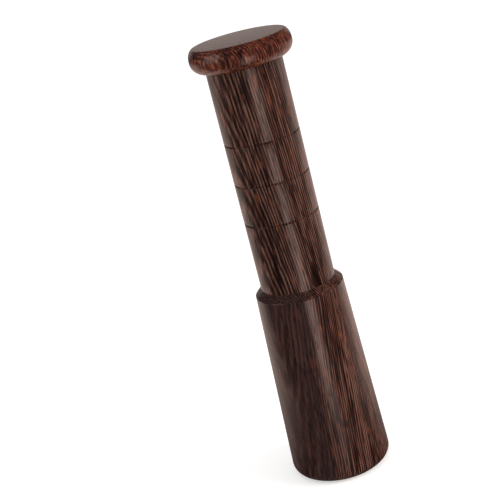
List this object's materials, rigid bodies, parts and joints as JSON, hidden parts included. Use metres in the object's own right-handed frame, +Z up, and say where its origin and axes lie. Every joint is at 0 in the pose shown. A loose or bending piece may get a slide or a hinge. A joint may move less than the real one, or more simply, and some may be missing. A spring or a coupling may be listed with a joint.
{
  "type": "muddler",
  "caption": "Turned hardwood bar muddler: flat-topped knob, ringed cylindrical grip, and a head that widens to a flat foot.",
  "frame": {"origin": "centre of the flat foot face, on the axis", "axes": "+Z up the tool's axis from the foot to the knob; X and Y across it"},
  "size_m": [0.046, 0.046, 0.203],
  "materials": {
    "knob_wenge": "dark red-brown wenge, satin clear lacquer",
    "grip_wenge": "dark brown wenge with near-black stripes, satin clear lacquer",
    "head_wenge": "dark brown wenge with near-black stripes, satin clear lacquer",
    "dowel_beech": "bare beech"
  },
  "bodies": {
    "root": {"knob": "knob_wenge", "grip": "grip_wenge", "muddling_head": "head_wenge", "upper_dowel": "dowel_beech", "lower_dowel": "dowel_beech"}
  },
  "joints": []
}
